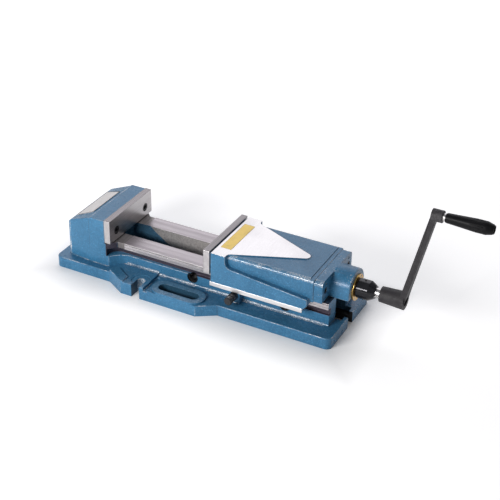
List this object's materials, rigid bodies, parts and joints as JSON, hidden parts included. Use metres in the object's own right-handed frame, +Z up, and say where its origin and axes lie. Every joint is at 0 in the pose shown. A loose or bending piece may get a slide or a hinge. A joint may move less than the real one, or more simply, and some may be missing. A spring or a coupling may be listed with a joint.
{
  "type": "machine vise",
  "caption": "Machine vise with ground jaw plates on a long cast bed, a pinned pressure-boosting screw that draws the movable jaw along guide rails, and a removable hand crank.",
  "frame": {"origin": "underside of the base, on the middle plane, directly below the fixed jaw's gripping face", "axes": "+X along the bed from the fixed jaw toward the crank, +Z up, +Y completes the right-handed frame"},
  "size_m": [0.876, 0.24, 0.2995],
  "materials": {
    "cast_blue": "textured enamel",
    "ground_steel": "ground",
    "bright_steel": "turned",
    "dark_steel": "machined",
    "black_oxide": "black oxide",
    "black_gloss": "gloss black",
    "bronze": "turned",
    "crank_grey": "matt phosphate",
    "grip_black": "moulded",
    "seal_rubber": "matt",
    "label_white": "printed",
    "label_yellow": "printed"
  },
  "bodies": {
    "bed": {"bed": "cast_blue", "fixed_jaw_plate": "ground_steel", "fixed_plate_screws": "black_oxide", "name_plate": "label_white", "anchor_block": "dark_steel"},
    "pin": {"locating_pin": "black_oxide"},
    "jaw": {"movable_jaw": "cast_blue", "movable_jaw_plate": "ground_steel", "movable_plate_screws": "black_oxide", "top_label": "label_yellow", "hold_down_plate_near": "ground_steel", "hold_down_plate_far": "ground_steel", "hold_down_screws": "black_oxide", "end_block": "cast_blue", "end_block_screws": "black_oxide", "end_block_set_screws": "black_oxide", "spindle_nut": "bronze", "nut_flange_screws": "bright_steel"},
    "screw": {"spindle_tube": "ground_steel", "pressure_head": "dark_steel", "pressure_piston": "bright_steel", "piston_seal": "seal_rubber", "primary_piston": "bright_steel", "disc_springs": "dark_steel", "thrust_bearing": "bright_steel", "drive_hub": "black_gloss", "hub_pin": "bright_steel", "drive_shaft": "bright_steel"},
    "crank": {"crank": "crank_grey", "grip_spindle": "bright_steel", "grip_cap": "bright_steel"},
    "grip": {"grip_sleeve": "grip_black"}
  },
  "joints": [
    {"name": "screw_spin", "type": "hinge", "parent": "bed", "child": "screw", "pos_m": [0.4, 0, 0.092], "axis": [1, 0, 0], "range_deg": [-6840, 0]},
    {"name": "jaw_slide", "type": "slide", "parent": "bed", "child": "jaw", "axis": [1, 0, 0], "range_m": [-0.1142, 0.0001]},
    {"name": "crank_pull", "type": "slide", "parent": "screw", "child": "crank", "axis": [1, 0, 0], "range_m": [0, 0.045]},
    {"name": "grip_spin", "type": "hinge", "parent": "crank", "child": "grip", "pos_m": [0.68, 0, 0.287], "axis": [1, 0, 0], "continuous": true},
    {"name": "pin_pull", "type": "slide", "parent": "bed", "child": "pin", "axis": [0, -1, 0], "range_m": [0, 0.09]}
  ],
  "couplings": [
    {"joint": "jaw_slide", "follows": "screw_spin", "m_per_rad": 0.00095493}
  ]
}
